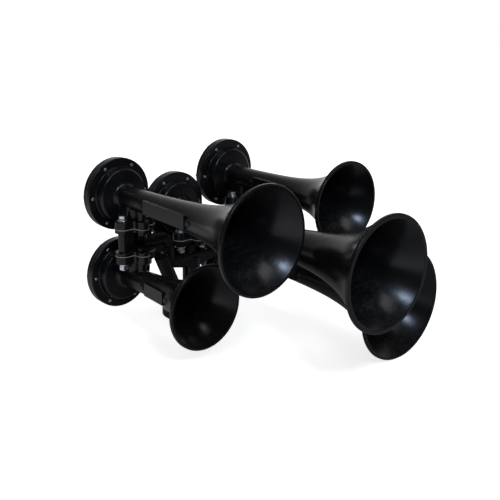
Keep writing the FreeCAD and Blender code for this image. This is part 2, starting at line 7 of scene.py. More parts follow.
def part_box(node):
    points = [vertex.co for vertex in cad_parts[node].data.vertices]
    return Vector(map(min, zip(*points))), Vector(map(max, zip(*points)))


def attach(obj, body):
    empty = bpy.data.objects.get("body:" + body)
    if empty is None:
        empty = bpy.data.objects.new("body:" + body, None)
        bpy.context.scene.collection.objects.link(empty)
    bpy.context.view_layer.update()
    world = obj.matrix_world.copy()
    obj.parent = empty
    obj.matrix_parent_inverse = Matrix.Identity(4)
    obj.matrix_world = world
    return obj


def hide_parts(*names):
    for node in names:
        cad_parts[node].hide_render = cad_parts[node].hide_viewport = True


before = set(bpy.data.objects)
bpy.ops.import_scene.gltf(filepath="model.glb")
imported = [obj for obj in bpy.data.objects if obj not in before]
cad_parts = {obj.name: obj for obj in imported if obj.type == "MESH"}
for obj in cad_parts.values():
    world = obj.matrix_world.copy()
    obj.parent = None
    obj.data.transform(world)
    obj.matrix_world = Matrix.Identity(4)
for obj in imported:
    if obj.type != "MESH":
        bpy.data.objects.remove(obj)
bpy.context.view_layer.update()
print("frame loaded:", len(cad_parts), "nodes")

hornNames = ("upper_left", "lower_left", "upper_right", "middle", "lower_right")


# node trees

def addNode(tree, kind, **settings):
    node = tree.nodes.new(kind)
    for name, value in settings.items():
        setattr(node, name, value)
    return node


def setInputs(node, **values):
    for name, value in values.items():
        node.inputs[name.replace("_", " ")].default_value = value
    return node


def mathNode(tree, operation, first, second=None):
    node = addNode(tree, "ShaderNodeMath", operation=operation)
    for index, value in enumerate((first, second)):
        if isinstance(value, (int, float)):
            node.inputs[index].default_value = value
        elif value is not None:
            tree.links.new(value, node.inputs[index])
    return node.outputs[0]


def rampNode(tree, source, stops):
    # from low to high between two positions, as a value
    node = addNode(tree, "ShaderNodeMapRange", clamp=True)
    setInputs(node, From_Min=stops[0], From_Max=stops[1], To_Min=stops[2], To_Max=stops[3])
    tree.links.new(source, node.inputs["Value"])
    return node.outputs["Result"]


def mixColour(tree, mask, low, high):
    node = addNode(tree, "ShaderNodeMix", data_type="RGBA")
    tree.links.new(mask, node.inputs["Factor"])
    for socket, value in (("A", low), ("B", high)):
        target = next(i for i in node.inputs if i.name == socket and i.type == "RGBA")
        if isinstance(value, tuple):
            target.default_value = (*value, 1.0)
        else:
            tree.links.new(value, target)
    return next(o for o in node.outputs if o.type == "RGBA")


def newGroup(name, inputs, outputs):
    group = bpy.data.node_groups.new(name, "ShaderNodeTree")
    for label, kind, value in inputs:
        socket = group.interface.new_socket(label, in_out="INPUT", socket_type=kind)
        socket.default_value = value
    for label, kind in outputs:
        group.interface.new_socket(label, in_out="OUTPUT", socket_type=kind)
    return group, addNode(group, "NodeGroupInput"), addNode(group, "NodeGroupOutput")


def noiseNode(tree, coordinates, scale, detail, roughness):
    node = addNode(tree, "ShaderNodeTexNoise")
    if isinstance(scale, (int, float)):
        node.inputs["Scale"].default_value = scale
    else:
        tree.links.new(scale, node.inputs["Scale"])
    setInputs(node, Detail=detail, Roughness=roughness)
    tree.links.new(coordinates, node.inputs["Vector"])
    return node.outputs["Fac"]


# the noise in the finishes: detail and roughness, or from, to, low and high

skinNoise = {"grain": (3.0, 0.55), "swell": (2.0, 0.5), "patch": (4.0, 0.6), "speck": (2.0, 0.7),
             "patchScale": 38.0, "speckFiner": 1.7, "speckWidth": 0.08}
rubNoise = {"sharp": (0.995, 0.9, 0.0, 1.0), "breakUp": (4.0, 0.65), "broken": (0.48, 0.62, 0.0, 1.0),
            "samples": 4}
dustNoise = {"facing": (0.3, 1.0, 0.0, 1.0), "cloud": (5.0, 0.7), "fallen": (0.42, 0.7, 0.0, 1.0)}
scratchNoise = {"lines": (4.0, 0.6), "patch": (4.0, 0.6), "patchScale": 160.0}
noiseMiddle = (0.3, 0.7)
normalSamples = 6


def buildSprayedSkin():
    # sprayed enamel: pinhead grain on a slow swell, with tiny flecks of spray that stand proud
    group, start, end = newGroup(
        "sprayedSkin",
        (("Grain Scale", "NodeSocketFloat", 900.0), ("Swell Scale", "NodeSocketFloat", 70.0),
         ("Grain Share", "NodeSocketFloat", 0.35), ("Speck Level", "NodeSocketFloat", 0.64)),
        (("Height", "NodeSocketFloat"), ("Sheen Patch", "NodeSocketFloat"), ("Speck", "NodeSocketFloat")))
    place = addNode(group, "ShaderNodeTexCoord").outputs["Object"]
    grain = noiseNode(group, place, start.outputs["Grain Scale"], *skinNoise["grain"])
    swell = noiseNode(group, place, start.outputs["Swell Scale"], *skinNoise["swell"])
    patch = noiseNode(group, place, skinNoise["patchScale"], *skinNoise["patch"])
    speckScale = mathNode(group, "MULTIPLY", start.outputs["Grain Scale"], skinNoise["speckFiner"])
    speck = noiseNode(group, place, speckScale, *skinNoise["speck"])
    speckEnd = mathNode(group, "ADD", start.outputs["Speck Level"], skinNoise["speckWidth"])
    speckRange = addNode(group, "ShaderNodeMapRange", clamp=True)
    group.links.new(speck, speckRange.inputs["Value"])
    group.links.new(start.outputs["Speck Level"], speckRange.inputs["From Min"])
    group.links.new(speckEnd, speckRange.inputs["From Max"])
    fine = mathNode(group, "MULTIPLY", grain, start.outputs["Grain Share"])
    height = mathNode(group, "ADD", fine, swell)
    group.links.new(height, end.inputs["Height"])
    group.links.new(patch, end.inputs["Sheen Patch"])
    group.links.new(speckRange.outputs["Result"], end.inputs["Speck"])
    return group


def buildEdgeRub():
    # where handling has rubbed the corners, broken up by noise
    group, start, end = newGroup(
        "edgeRub",
        (("Radius", "NodeSocketFloat", 0.001), ("Break Scale", "NodeSocketFloat", 300.0),
         ("Amount", "NodeSocketFloat", 0.5)),
        (("Mask", "NodeSocketFloat"),))
    bevel = addNode(group, "ShaderNodeBevel", samples=rubNoise["samples"])
    group.links.new(start.outputs["Radius"], bevel.inputs["Radius"])
    face = addNode(group, "ShaderNodeNewGeometry").outputs["Normal"]
    dot = addNode(group, "ShaderNodeVectorMath", operation="DOT_PRODUCT")
    group.links.new(bevel.outputs["Normal"], dot.inputs[0])
    group.links.new(face, dot.inputs[1])
    sharp = rampNode(group, dot.outputs["Value"], rubNoise["sharp"])
    place = addNode(group, "ShaderNodeTexCoord").outputs["Object"]
    breakUp = noiseNode(group, place, start.outputs["Break Scale"], *rubNoise["breakUp"])
    broken = rampNode(group, breakUp, rubNoise["broken"])
    rubbed = mathNode(group, "MULTIPLY", sharp, broken)
    rubbed = mathNode(group, "MULTIPLY", rubbed, start.outputs["Amount"])
    group.links.new(rubbed, end.inputs["Mask"])
    return group


def buildDustFall():
    # dust that lies on what faces up
    group, start, end = newGroup(
        "dustFall",
        (("Amount", "NodeSocketFloat", 0.2), ("Scale", "NodeSocketFloat", 120.0)),
        (("Mask", "NodeSocketFloat"),))
    parts = addNode(group, "ShaderNodeSeparateXYZ")
    group.links.new(addNode(group, "ShaderNodeNewGeometry").outputs["Normal"], parts.inputs[0])
    facing = rampNode(group, parts.outputs["Z"], dustNoise["facing"])
    place = addNode(group, "ShaderNodeTexCoord").outputs["Object"]
    cloud = noiseNode(group, place, start.outputs["Scale"], *dustNoise["cloud"])
    fallen = mathNode(group, "MULTIPLY", facing, rampNode(group, cloud, dustNoise["fallen"]))
    fallen = mathNode(group, "MULTIPLY", fallen, start.outputs["Amount"])
    group.links.new(fallen, end.inputs["Mask"])
    return group


def buildFineScratches():
    # fine scratches drawn out along one way, and the cloudy patches of the metal
    group, start, end = newGroup(
        "fineScratches",
        (("Scale", "NodeSocketFloat", 400.0), ("Stretch", "NodeSocketVector", (1.0, 1.0, 12.0))),
        (("Scratch", "NodeSocketFloat"), ("Patch", "NodeSocketFloat")))
    place = addNode(group, "ShaderNodeTexCoord").outputs["Object"]
    stretched = addNode(group, "ShaderNodeVectorMath", operation="MULTIPLY")
    group.links.new(place, stretched.inputs[0])
    group.links.new(start.outputs["Stretch"], stretched.inputs[1])
    lines = noiseNode(group, stretched.outputs["Vector"], start.outputs["Scale"], *scratchNoise["lines"])
    patch = noiseNode(group, place, scratchNoise["patchScale"], *scratchNoise["patch"])
    group.links.new(lines, end.inputs["Scratch"])
    group.links.new(patch, end.inputs["Patch"])
    return group


sprayedSkin = buildSprayedSkin()
edgeRub = buildEdgeRub()
dustFall = buildDustFall()
fineScratches = buildFineScratches()


def useGroup(tree, group, **values):
    node = addNode(tree, "ShaderNodeGroup", node_tree=group)
    return setInputs(node, **values)


def newMaterial(name):
    material = bpy.data.materials.new(name)
    material.use_nodes = True
    shader = material.node_tree.nodes["Principled BSDF"]
    return material, material.node_tree, shader


def roundedNormal(tree, radius):
    # light rolls over the cast or cut corners
    node = addNode(tree, "ShaderNodeBevel", samples=normalSamples)
    node.inputs["Radius"].default_value = radius
    return node.outputs["Normal"]


def bumpFrom(tree, height, distance, strength, normal=None):
    node = addNode(tree, "ShaderNodeBump")
    setInputs(node, Distance=distance, Strength=strength)
    tree.links.new(height, node.inputs["Height"])
    if normal:
        tree.links.new(normal, node.inputs["Normal"])
    return node.outputs["Normal"]


# finishes

enamel = {
    "black": (0.0035, 0.0035, 0.0038), "rubbed": (0.05, 0.05, 0.052), "dust": (0.16, 0.155, 0.15),
    "roughness": (0.22, 0.28), "specular": 0.3, "cornerRadius": 0.0013, "rubRadius": 0.00091,
    "rubAmount": 0.3, "dustAmount": 0.07, "dustRoughness": 0.8, "speckRoughness": -0.02,
    "speckHeight": 0.1, "strength": 1.0,
}
castings = {"grainScale": 820.0, "swellScale": 62.0, "grainDepth": 0.0001}
screws = {"grainScale": 1600.0, "swellScale": 240.0, "grainDepth": 0.00006}


def makeEnamel(name, coat):
    material, tree, shader = newMaterial(name)
    skin = useGroup(tree, sprayedSkin, Grain_Scale=coat["grainScale"], Swell_Scale=coat["swellScale"])
    rub = useGroup(tree, edgeRub, Radius=enamel["rubRadius"], Amount=enamel["rubAmount"])
    dust = useGroup(tree, dustFall, Amount=enamel["dustAmount"])
    colour = mixColour(tree, rub.outputs["Mask"], enamel["black"], enamel["rubbed"])
    colour = mixColour(tree, dust.outputs["Mask"], colour, enamel["dust"])
    tree.links.new(colour, shader.inputs["Base Color"])
    gloss = rampNode(tree, skin.outputs["Sheen Patch"], (*noiseMiddle, *enamel["roughness"]))
    speckRoughness = mathNode(tree, "MULTIPLY", skin.outputs["Speck"], enamel["speckRoughness"])
    gloss = mathNode(tree, "ADD", gloss, speckRoughness)
    dusty = mathNode(tree, "MULTIPLY", dust.outputs["Mask"], enamel["dustRoughness"])
    tree.links.new(mathNode(tree, "ADD", gloss, dusty), shader.inputs["Roughness"])
    shader.inputs["Specular IOR Level"].default_value = enamel["specular"]
    rounded = roundedNormal(tree, enamel["cornerRadius"])
    specks = mathNode(tree, "MULTIPLY", skin.outputs["Speck"], enamel["speckHeight"])
    height = mathNode(tree, "ADD", skin.outputs["Height"], specks)
    sprayed = bumpFrom(tree, height, coat["grainDepth"], enamel["strength"], rounded)
    tree.links.new(sprayed, shader.inputs["Normal"])
    return material


metal = {"clouded": (0.35, 0.68, 0.0, 1.0), "rubAmount": 0.8, "depth": 0.00004, "strength": 0.6}
zinc = {"bright": (0.7, 0.72, 0.75), "dull": (0.46, 0.47, 0.48), "roughness": (0.2, 0.36),
        "stretch": (1.0, 1.0, 10.0), "cornerRadius": 0.0004}
steel = {"bright": (0.56, 0.56, 0.56), "dull": (0.36, 0.35, 0.34), "roughness": (0.24, 0.42),
         "stretch": (8.0, 8.0, 1.0), "cornerRadius": 0.0003}
spring = {"bright": (0.52, 0.53, 0.56), "dull": (0.38, 0.37, 0.36), "roughness": (0.14, 0.28),
          "stretch": (1.0, 14.0, 1.0), "cornerRadius": 0.0001}
brass = {"bright": (0.72, 0.53, 0.24), "dull": (0.5, 0.36, 0.16), "roughness": (0.18, 0.35),
         "stretch": (1.0, 14.0, 1.0), "cornerRadius": 0.0003}


def makeMetal(name, look):
    material, tree, shader = newMaterial(name)
    marks = useGroup(tree, fineScratches, Stretch=look["stretch"])
    rub = useGroup(tree, edgeRub, Radius=look["cornerRadius"], Amount=metal["rubAmount"])
    clouded = rampNode(tree, marks.outputs["Patch"], metal["clouded"])
    colour = mixColour(tree, clouded, look["bright"], look["dull"])
    colour = mixColour(tree, rub.outputs["Mask"], colour, look["bright"])
    tree.links.new(colour, shader.inputs["Base Color"])
    shader.inputs["Metallic"].default_value = 1.0
    roughness = rampNode(tree, marks.outputs["Scratch"], (*noiseMiddle, *look["roughness"]))
    tree.links.new(roughness, shader.inputs["Roughness"])
    rounded = roundedNormal(tree, look["cornerRadius"])
    worn = bumpFrom(tree, marks.outputs["Scratch"], metal["depth"], metal["strength"], rounded)
    tree.links.new(worn, shader.inputs["Normal"])
    return material


fibre = {
    "pale": (0.3, 0.265, 0.215), "dark": (0.15, 0.12, 0.08), "blend": (0.38, 0.6, 0.0, 1.0),
    "flattened": (1.0, 1.0, 4.0), "strandScale": 1100.0, "strands": (5.0, 0.7), "cloudScale": 150.0,
    "clouds": (3.0, 0.6), "share": 0.5, "roughness": (0.75, 0.95), "specular": 0.2, "depth": 0.0002,
    "strength": 0.8,
}


def makeFibre():
    material, tree, shader = newMaterial("fibreSheet")
    place = addNode(tree, "ShaderNodeTexCoord").outputs["Object"]
    flat = addNode(tree, "ShaderNodeMapping")
    flat.inputs["Scale"].default_value = fibre["flattened"]
    tree.links.new(place, flat.inputs["Vector"])
    strands = noiseNode(tree, flat.outputs["Vector"], fibre["strandScale"], *fibre["strands"])
    cloud = noiseNode(tree, place, fibre["cloudScale"], *fibre["clouds"])
    strandShare = mathNode(tree, "MULTIPLY", strands, fibre["share"])
    cloudShare = mathNode(tree, "MULTIPLY", cloud, fibre["share"])
    blend = rampNode(tree, mathNode(tree, "ADD", strandShare, cloudShare), fibre["blend"])
    tree.links.new(mixColour(tree, blend, fibre["dark"], fibre["pale"]), shader.inputs["Base Color"])
    tree.links.new(rampNode(tree, strands, (*noiseMiddle, *fibre["roughness"])), shader.inputs["Roughness"])
    shader.inputs["Specular IOR Level"].default_value = fibre["specular"]
    tree.links.new(bumpFrom(tree, strands, fibre["depth"], fibre["strength"]), shader.inputs["Normal"])
    return material


rubber = {
    "black": (0.018, 0.018, 0.018), "dust": (0.12, 0.115, 0.11), "dustAmount": 0.15, "grainScale": 1500.0,
    "swellScale": 200.0, "roughness": (0.62, 0.8), "depth": 0.0001, "strength": 0.8,
}


def makeRubber():
    material, tree, shader = newMaterial("blackRubber")
    skin = useGroup(tree, sprayedSkin, Grain_Scale=rubber["grainScale"], Swell_Scale=rubber["swellScale"])
    dust = useGroup(tree, dustFall, Amount=rubber["dustAmount"])
    colour = mixColour(tree, dust.outputs["Mask"], rubber["black"], rubber["dust"])
    tree.links.new(colour, shader.inputs["Base Color"])
    roughness = rampNode(tree, skin.outputs["Sheen Patch"], (*noiseMiddle, *rubber["roughness"]))
    tree.links.new(roughness, shader.inputs["Roughness"])
    skinned = bumpFrom(tree, skin.outputs["Height"], rubber["depth"], rubber["strength"])
    tree.links.new(skinned, shader.inputs["Normal"])
    return material


enamelCastings = makeEnamel("satinEnamel", castings)
enamelScrews = makeEnamel("blackenedScrews", screws)
zincPlate = makeMetal("zincPlate", zinc)
plainSteel = makeMetal("plainSteel", steel)
springSteel = makeMetal("springSteel", spring)
turnedBrass = makeMetal("turnedBrass", brass)
fibreSheet = makeFibre()
rubberSheet = makeRubber()

finishOf = {"manifold": enamelCastings, "front_screws": enamelScrews,
            "foot_washers": zincPlate, "foot_lock_washers": zincPlate, "foot_nuts": zincPlate,
            "foot_bolts_left": zincPlate, "foot_bolts_right": zincPlate, "foot_bolts_middle": zincPlate}
for horn in hornNames:
    finishOf["bell_" + horn] = enamelCastings
    finishOf["back_cap_" + horn] = enamelCastings
    finishOf["cap_gasket_" + horn] = rubberSheet
    finishOf["clamp_ring_" + horn] = plainSteel
    finishOf["diaphragm_" + horn] = springSteel
    finishOf["nozzle_" + horn] = turnedBrass
    finishOf["cap_screws_" + horn] = zincPlate
    finishOf["foot_gasket_" + horn] = fibreSheet
for node, material in finishOf.items():
    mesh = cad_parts[node].data
    mesh.materials.clear()
    mesh.materials.append(material)
print("finishes laid on")


# modelling by hand

shaping = {
    "bevelAngle": math.radians(25), "bevelRings": 2, "smoothAngle": math.radians(32), "endFacing": 0.9,
    "cutGap": 0.00004, "seamGap": 0.000002, "latheSides": 64, "turnedSides": 48, "cornerSlope": 0.55,
}


def only(piece):
    bpy.ops.object.select_all(action="DESELECT")
    piece.select_set(True)
    bpy.context.view_layer.objects.active = piece
    return piece


def pickFaces(wanted):
    # edit mode, with the faces selected whose centre and normal are wanted
    mesh = bpy.context.object.data
    bpy.ops.object.mode_set(mode="EDIT")
    bpy.ops.mesh.select_mode(type="FACE")
    bpy.ops.mesh.select_all(action="DESELECT")
    bpy.ops.object.mode_set(mode="OBJECT")
    for face in mesh.polygons:
        face.select = wanted(face.center, face.normal)
    bpy.ops.object.mode_set(mode="EDIT")


def leaveEdit():
    bpy.ops.object.mode_set(mode="OBJECT")
    return bpy.context.object


def applyModifier(piece, kind, **settings):
    only(piece)
    modifier = piece.modifiers.new(kind.lower(), kind)
    for name, value in settings.items():
        setattr(modifier, name, value)
    bpy.ops.object.modifier_apply(modifier=modifier.name)


def cutWith(piece, tool, operation):
    applyModifier(piece, "BOOLEAN", operation=operation, object=tool, solver="EXACT")
    bpy.data.objects.remove(tool)
    return piece


def breakEdges(piece, width):
    applyModifier(piece, "BEVEL", width=width, segments=shaping["bevelRings"], limit_method="ANGLE",
                  angle_limit=shaping["bevelAngle"], use_clamp_overlap=True)
    bpy.ops.object.shade_smooth_by_angle(angle=shaping["smoothAngle"])
    return piece


def bakePlace(piece):
    # its place and turn go into its points
    only(piece)
    bpy.ops.object.transform_apply(location=True, rotation=True)
    return piece


def joined(pieces):
    only(pieces[0])
    for piece in pieces[1:]:
        piece.select_set(True)
    bpy.ops.object.join()
    return bpy.context.object


def plainBar(radius, height, sides, turn=0.0):
    # a bar that stands on 0
    bpy.ops.object.select_all(action="DESELECT")
    bpy.ops.mesh.primitive_cylinder_add(vertices=sides, radius=radius, depth=height,
                                        location=(0, 0, height / 2), rotation=(0, 0, turn))
    return bakePlace(bpy.context.object)


def roundBar(radius, height, sides, chamferIn, chamferDown, bothEnds=False):
    # a bar whose top edge, and lower one too if asked, is turned to a cone
    bar = plainBar(radius, height, sides)
    share = 1 - chamferIn / radius
    for end in ((1, -1) if bothEnds else (1,)):
        pickFaces(lambda centre, normal: normal.z * end > shaping["endFacing"])
        bpy.ops.transform.translate(value=(0, 0, -end * chamferDown))
        bpy.ops.mesh.extrude_region_move(TRANSFORM_OT_translate={"value": (0, 0, end * chamferDown)})
        bpy.ops.transform.resize(value=(share, share, 1))
        leaveEdit()
    return bar


def mergeClose(piece, gap):
    # points that a cut left nearly on top of each other
    only(piece)
    bpy.ops.object.mode_set(mode="EDIT")
    bpy.ops.mesh.select_all(action="SELECT")
    bpy.ops.mesh.remove_doubles(threshold=gap)
    return leaveEdit()


def hexBlank(flats, height, bothEnds):
    # the six corners turned off at the ends, as on bar stock in a lathe
    corner = flats / math.sqrt(3)
    reach = 2 * (corner - flats / 2)
    blank = plainBar(corner, height, 6, math.radians(30))
    down = reach * shaping["cornerSlope"]
    lathe = roundBar(corner + reach / 2, height, shaping["latheSides"], reach, down, bothEnds)
    return mergeClose(cutWith(blank, lathe, "INTERSECT"), shaping["cutGap"])


def ring(outer, inner, height, sides):
    plainBar(outer, height, sides)
    pickFaces(lambda centre, normal: abs(normal.z) > shaping["endFacing"])
    bpy.ops.mesh.inset(thickness=outer - inner)
    bpy.ops.mesh.bridge_edge_loops()
    return leaveEdit()


def uprightFace(inner, outer, height, middle):
    # one face that stands beside the axis, to be wound round it
    bpy.ops.object.select_all(action="DESELECT")
    bpy.ops.mesh.primitive_plane_add(size=1, rotation=(math.radians(90), 0, 0))
    bpy.ops.object.transform_apply(rotation=True)
    pickFaces(lambda centre, normal: True)
    bpy.ops.transform.resize(value=(outer - inner, 1, height))
    bpy.ops.transform.translate(value=((outer + inner) / 2, 0, middle))
    bpy.ops.mesh.select_mode(type="VERT")
    bpy.ops.mesh.select_all(action="DESELECT")
    return leaveEdit()


def windUp(face, turn, rise, rounds, steps):
    # the face's outline wound round the axis, then closed at both ends
    bpy.ops.object.mode_set(mode="EDIT")
    bpy.ops.mesh.select_all(action="SELECT")
    bpy.ops.mesh.delete(type="ONLY_FACE")
    leaveEdit()
    applyModifier(face, "SCREW", axis="Z", angle=turn, screw_offset=rise, iterations=rounds,
                  steps=steps, render_steps=steps)
    bpy.ops.object.mode_set(mode="EDIT")
    bpy.ops.mesh.select_all(action="SELECT")
    bpy.ops.mesh.remove_doubles(threshold=shaping["seamGap"])
    bpy.ops.mesh.fill_holes(sides=4)
    bpy.ops.mesh.normals_make_consistent(inside=False)
    return leaveEdit()


def threadRidge(thread, length):
    # a wedge wound up the shank, broad at the root and narrow at the crest
    crest, root, pitch = thread["crest"], thread["root"] - thread["sink"], thread["pitch"]
    ridge = uprightFace(root, crest, pitch * thread["foot"], pitch / 2)
    for point in ridge.data.vertices:
        point.select = point.co.x > (crest + root) / 2
    bpy.ops.object.mode_set(mode="EDIT")
    bpy.ops.transform.resize(value=(1, 1, thread["flat"]), center_override=(0, 0, pitch / 2))
    leaveEdit()
    return windUp(ridge, math.tau, pitch, max(1, round(length / pitch) - 1), thread["steps"])


def hexHead(look):
    # a chamfered head on its round washer face
    head = hexBlank(look["flats"], look["headHeight"] - look["seatStep"], False)
    head.location.z = look["seatStep"]
    bakePlace(head)
    seat = plainBar(look["seatRadius"], look["seatStep"] * 2, shaping["turnedSides"])
    cutWith(head, seat, "UNION")
    return breakEdges(head, look["cornerWear"])


def threadedScrew(look, length, threadLength):
    # the head's seat is at 0 and the shank hangs below it
    head = hexHead(look)
    thread = look["thread"]
    tip, sides = thread["tip"], thread["sides"]
    core = roundBar(thread["root"], length, sides, tip, tip)
    body = roundBar(thread["crest"], length - threadLength, sides, tip, tip)
    ridge = threadRidge(thread, threadLength - tip)
    ridge.location.z = length - threadLength
    rod = joined([core, body, bakePlace(ridge)])
    rod.rotation_euler.x = math.pi
    bakePlace(rod)
    bpy.ops.object.shade_smooth_by_angle(angle=shaping["smoothAngle"])
    return joined([head, rod])


def setDown(model, name, places):
    # a copy at each (place, turn), joined into one piece
    copies = []
    for place, turn in places:
        only(model)
        bpy.ops.object.duplicate()
        copy = bpy.context.object
        copy.location = place
        copy.rotation_euler = turn
        copies.append(bakePlace(copy))
    piece = joined(copies)
    piece.name = name
    return piece


def finishPiece(piece, material, slot, *nodes):
    piece.data.materials.clear()
    piece.data.materials.append(material)
    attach(piece, "horn")
    if nodes:
        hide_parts(*nodes)


# foot bolts, nuts and washers

footBolt = {
    "flats": 0.0143, "headHeight": 0.0062, "seatRadius": 0.0068, "seatStep": 0.0004, "cornerWear": 0.00022,
    "reach": 0.0265, "threadLength": 0.024, "pastNut": 0.002,
    "thread": {"crest": 0.00476, "root": 0.0041, "pitch": 0.00159, "sink": 0.0004, "foot": 0.94,
               "flat": 0.16, "steps": 28, "sides": 36, "tip": 0.0006},
}
footNut = {"height": 0.0082, "hole": 0.0048, "mouth": 0.0054, "countersink": 0.0007}
footWasher = {"outer": 0.0103, "inner": 0.0053, "height": 0.002, "edge": 0.0003, "sides": 64}
lockWasher = {"outer": 0.0086, "inner": 0.0054, "height": 0.0024, "turn": math.radians(345), "steps": 60,
              "rise": 0.00025, "edge": 0.00025}
stackTurns = ((14.0, -21.0), (33.0, 5.0), (-8.0, 26.0))
stackSpin = {"upperLock": 3, "lowerLock": 5, "nut": 2, "nutStart": 0.4}


def makeWasher():
    washer = ring(footWasher["outer"], footWasher["inner"], footWasher["height"], footWasher["sides"])
    return breakEdges(washer, footWasher["edge"])


def makeLockWasher():
    # a square wire wound once and pressed nearly flat, its two ends a little apart
    rise = lockWasher["rise"]
    thickness = lockWasher["height"] - rise
    wire = uprightFace(lockWasher["inner"], lockWasher["outer"], thickness, thickness / 2)
    windUp(wire, lockWasher["turn"], rise, 1, lockWasher["steps"])
    return breakEdges(wire, lockWasher["edge"])


def makeNut():
    # the drill flares at both ends, so one cut makes the hole and its countersinks
    nut = hexBlank(footBolt["flats"], footNut["height"], True)
    flare, sink = footNut["hole"] - footNut["mouth"], footNut["countersink"]
    drill = roundBar(footNut["hole"], footNut["height"] + sink * 2, shaping["turnedSides"],
                     flare * 2, sink * 2, bothEnds=True)
    drill.location.z = -sink
    cutWith(nut, drill, "DIFFERENCE")
    return breakEdges(nut, footBolt["cornerWear"])


def makeFootHardware():
    washers, lockWashers, nuts = [], [], []
    stackDepth = footWasher["height"] + lockWasher["height"]
    for side, turns in zip(("left", "right", "middle"), stackTurns):
        low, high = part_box("foot_bolts_" + side)
        seat = high[2] - footBolt["headHeight"]
        foot = low[2] + footBolt["pastNut"] + footNut["height"] + stackDepth
        middle = (low[0] + high[0]) / 2
        bolt = threadedScrew(footBolt, seat - low[2], footBolt["threadLength"])
        bolts = []
        for reach, turn in zip((-footBolt["reach"], footBolt["reach"]), turns):
            x, spin = middle + reach, math.radians(turn)
            bolts.append(((x, 0, seat), (0, 0, spin)))
            washers += [((x, 0, seat - stackDepth), (0, 0, 0)),
                        ((x, 0, foot - footWasher["height"]), (0, 0, 0))]
            lockWashers += [((x, 0, seat - lockWasher["height"]), (0, 0, spin * stackSpin["upperLock"])),
                            ((x, 0, foot - stackDepth), (0, 0, spin * stackSpin["lowerLock"]))]
            nuts.append(((x, 0, foot - stackDepth - footNut["height"]),
                         (0, 0, spin * stackSpin["nut"] + stackSpin["nutStart"])))
        piece = setDown(bolt, "footBolts_" + side, bolts)
        finishPiece(piece, zincPlate, "zinc_plate", "foot_bolts_" + side)
        bpy.data.objects.remove(bolt)
    for make, name, node, places in ((makeWasher, "footWashers", "foot_washers", washers),
                                     (makeLockWasher, "footLockWashers", "foot_lock_washers", lockWashers),
                                     (makeNut, "footNuts", "foot_nuts", nuts)):
        model = make()
        finishPiece(setDown(model, name, places), zincPlate, "zinc_plate", node)
        bpy.data.objects.remove(model)


# cap screws, whose threaded ends come through the front of each chamber

capScrew = {
    "flats": 0.0111, "headHeight": 0.0044, "seatRadius": 0.0052, "seatStep": 0.0003, "cornerWear": 0.00018,
    "circle": 0.0573, "count": 6, "threadLength": 0.006,
    "thread": {"crest": 0.003175, "root": 0.0026, "pitch": 0.00127, "sink": 0.0003, "foot": 0.94,
               "flat": 0.16, "steps": 24, "sides": 32, "tip": 0.0004},
}
capTurns = (9.0, 41.0, -17.0, 25.0, -33.0, 3.0)


def makeCapScrews():
    low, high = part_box("cap_screws_middle")
    length = high[1] - capScrew["headHeight"] - low[1]
    screw = threadedScrew(capScrew, length, capScrew["threadLength"])
    for shift, horn in enumerate(hornNames):
        low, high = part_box("cap_screws_" + horn)
        seat = high[1] - capScrew["headHeight"]
        places = []
        for index in range(capScrew["count"]):
            angle = math.tau * index / capScrew["count"]
            x = (low[0] + high[0]) / 2 + capScrew["circle"] * math.cos(angle)
            z = (low[2] + high[2]) / 2 + capScrew["circle"] * math.sin(angle)
            spin = math.radians(capTurns[(index + shift) % len(capTurns)])
            places.append(((x, seat, z), (math.radians(-90), spin, 0)))
        piece = setDown(screw, "capScrews_" + horn, places)
        finishPiece(piece, zincPlate, "plain_steel", "cap_screws_" + horn)
    bpy.data.objects.remove(screw)


# front screws

frontScrew = {"forward": -0.019, "lip": 0.006, "depth": 0.02, "threadLength": 0.012,
              "turns": (12.0, -9.0, 20.0, 4.0, -25.0)}


def makeFrontScrews():
    places = []
    for horn, turn in zip(hornNames, frontScrew["turns"]):
        low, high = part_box("foot_gasket_" + horn)
        x = (low[0] + high[0]) / 2
        spin = math.radians(turn)
        if horn.startswith("lower"):
            places.append(((x, frontScrew["forward"], high[2] + frontScrew["lip"]), (0, 0, spin)))
        else:
            places.append(((x, frontScrew["forward"], low[2] - frontScrew["lip"]), (math.pi, 0, spin)))
    length = frontScrew["lip"] + high[2] - low[2] + frontScrew["depth"]
    screw = threadedScrew(footBolt, length, frontScrew["threadLength"])
    finishPiece(setDown(screw, "frontScrews", places), enamelScrews, "black_screws", "front_screws")
    bpy.data.objects.remove(screw)


# foot gaskets

gasketSheet = {"voxel": 0.0007, "wave": 0.0005, "waveSize": 0.006, "rough": 0.00025, "roughSize": 0.0015,
               "octaves": 2, "seamGap": 0.00001}


def makeGaskets():
    waves = {}
    for name in ("wave", "rough"):
        waves[name] = bpy.data.textures.new("gasket_" + name, "CLOUDS")
        waves[name].noise_scale = gasketSheet[name + "Size"]
        waves[name].noise_depth = gasketSheet["octaves"]
    for horn in hornNames:
        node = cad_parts["foot_gasket_" + horn]
        only(node)
        bpy.ops.object.duplicate()
        sheet = mergeClose(bpy.context.object, gasketSheet["seamGap"])
        applyModifier(sheet, "REMESH", mode="VOXEL", voxel_size=gasketSheet["voxel"], use_smooth_shade=True)
        for name, direction in (("wave", "X"), ("wave", "Y"), ("rough", "X"), ("rough", "Y")):
            applyModifier(sheet, "DISPLACE", texture=waves[name], direction=direction,
                          strength=gasketSheet[name], texture_coords="LOCAL")
        sheet.name = "footGasket_" + horn
        finishPiece(sheet, fibreSheet, "tan_fibre", "foot_gasket_" + horn)


makeFootHardware()
makeCapScrews()
makeFrontScrews()
makeGaskets()
print("fasteners and gaskets made")


# floor, light and camera

